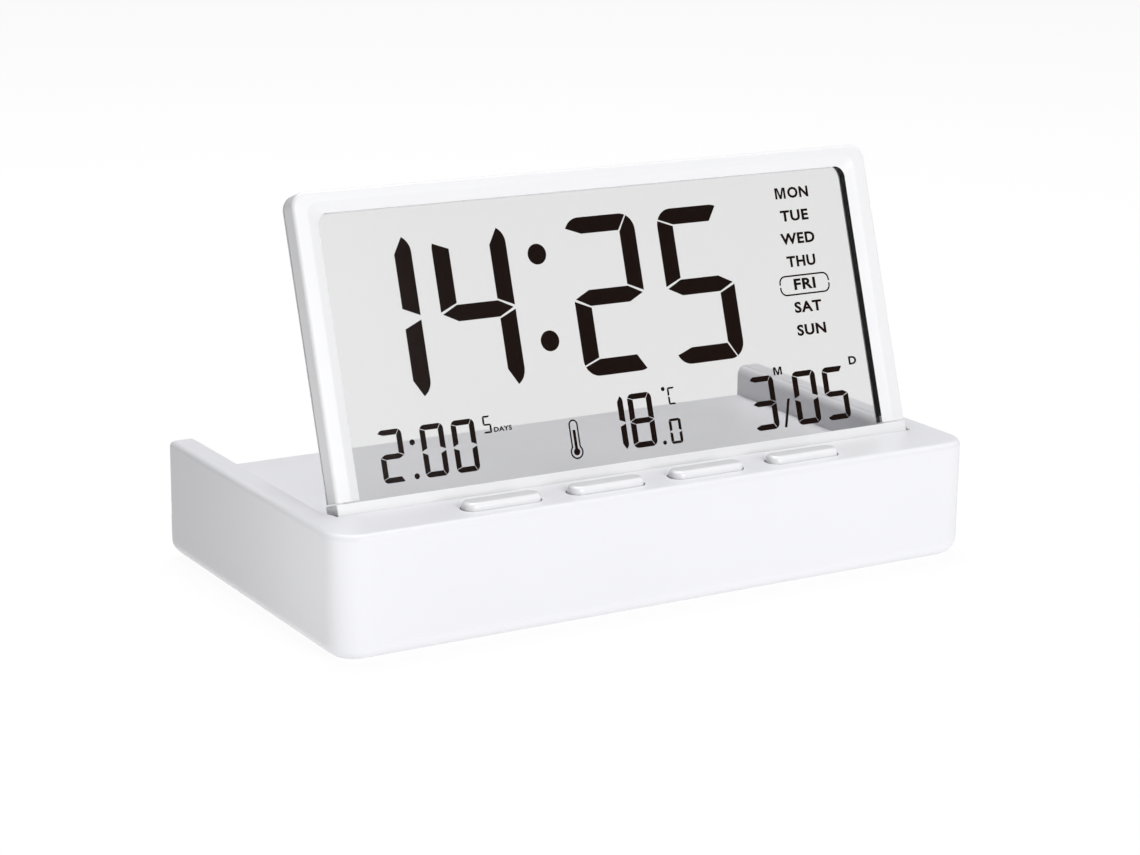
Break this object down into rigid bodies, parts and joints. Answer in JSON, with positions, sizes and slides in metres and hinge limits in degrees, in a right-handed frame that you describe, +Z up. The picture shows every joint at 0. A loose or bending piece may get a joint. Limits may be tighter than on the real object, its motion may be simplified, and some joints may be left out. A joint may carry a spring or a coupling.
{
  "type": "folding digital alarm clock",
  "caption": "Folding digital alarm clock: a see-through display in a white frame, hinged to a tray base that it folds into, with pill-shaped push buttons along the front ledge.",
  "frame": {"origin": "centre of the base's footprint, on the surface the feet stand on", "axes": "+X to the clock's right seen from the front, -Y out of the front, +Z up"},
  "size_m": [0.14, 0.076, 0.0791],
  "materials": {
    "white_abs": "semi-gloss moulded ABS",
    "grey_abs": "moulded switch plastic",
    "seal_black": "matt black foam seal",
    "lcd_glass": "clear thin glass",
    "polariser_film": "neutral grey film, light gloss",
    "steel": "plated steel",
    "nickel_strip": "nickel-plated spring strip",
    "brass_disc": "brass disc with ceramic",
    "foot_rubber": "grey anti-slip rubber",
    "board_green": "solder-masked glass-epoxy board",
    "chip_black": "black epoxy and switch bodies",
    "cell_wrap": "wrapped AAA cell, mass near a real cell's",
    "capacitor_sleeve": "sleeved can",
    "elastomer": "layered conductive elastomer",
    "wire_red": "insulated wire",
    "wire_black": "insulated wire",
    "cable_grey": "insulated ribbon and cable"
  },
  "bodies": {
    "base": {"upper_case": "white_abs", "lower_case": "white_abs", "case_screw_front_left": "steel", "case_screw_front_right": "steel", "case_screw_rear_left": "steel", "case_screw_rear_right": "steel", "board_screw_1": "steel", "board_screw_2": "steel", "quartz_crystal": "steel", "battery_bridge_spring": "steel", "battery_negative_spring": "steel", "battery_positive_contact": "nickel_strip", "battery_negative_plate": "nickel_strip", "battery_bridge_plate": "nickel_strip", "piezo_buzzer": "brass_disc", "foot_front_left": "foot_rubber", "foot_front_right": "foot_rubber", "foot_rear_left": "foot_rubber", "foot_rear_right": "foot_rubber", "main_board": "board_green", "clock_chip": "chip_black", "temperature_sensor": "chip_black", "tact_switch_1": "chip_black", "tact_switch_2": "chip_black", "tact_switch_3": "chip_black", "tact_switch_4": "chip_black", "battery_cell_1": "cell_wrap", "battery_cell_2": "cell_wrap", "capacitor": "capacitor_sleeve", "battery_lead_red": "wire_red", "battery_lead_black": "wire_black", "display_cable": "cable_grey"},
    "screen": {"front_bezel": "white_abs", "rear_cover": "white_abs", "bottom_rail": "white_abs", "window_seal": "seal_black", "front_polariser": "polariser_film", "lcd_front_glass": "lcd_glass", "lcd_rear_glass": "lcd_glass", "rear_polariser": "polariser_film", "connector_strip": "elastomer", "screen_flex_tape": "cable_grey", "hinge_pin_left": "steel", "hinge_pin_right": "steel"},
    "button_1": {"button_1": "white_abs", "switch_plunger_1": "grey_abs"},
    "button_2": {"button_2": "white_abs", "switch_plunger_2": "grey_abs"},
    "button_3": {"button_3": "white_abs", "switch_plunger_3": "grey_abs"},
    "button_4": {"button_4": "white_abs", "switch_plunger_4": "grey_abs"},
    "battery_door": {"battery_door": "white_abs"}
  },
  "joints": [
    {"name": "screen_fold", "type": "hinge", "parent": "base", "child": "screen", "pos_m": [0, -0.02368, 0.02], "axis": [-1, 0, 0], "range_deg": [0, 71.6]},
    {"name": "button_1_press", "type": "slide", "parent": "base", "child": "button_1", "axis": [0, 0, -1], "range_m": [0, 0.0006], "stiffness_N_per_m": 600},
    {"name": "button_2_press", "type": "slide", "parent": "base", "child": "button_2", "axis": [0, 0, -1], "range_m": [0, 0.0006], "stiffness_N_per_m": 600},
    {"name": "button_3_press", "type": "slide", "parent": "base", "child": "button_3", "axis": [0, 0, -1], "range_m": [0, 0.0006], "stiffness_N_per_m": 600},
    {"name": "button_4_press", "type": "slide", "parent": "base", "child": "button_4", "axis": [0, 0, -1], "range_m": [0, 0.0006], "stiffness_N_per_m": 600},
    {"name": "battery_door_open", "type": "hinge", "parent": "base", "child": "battery_door", "pos_m": [0, -0.0031, 0.0004], "axis": [-1, 0, 0], "range_deg": [0, 50]}
  ]
}
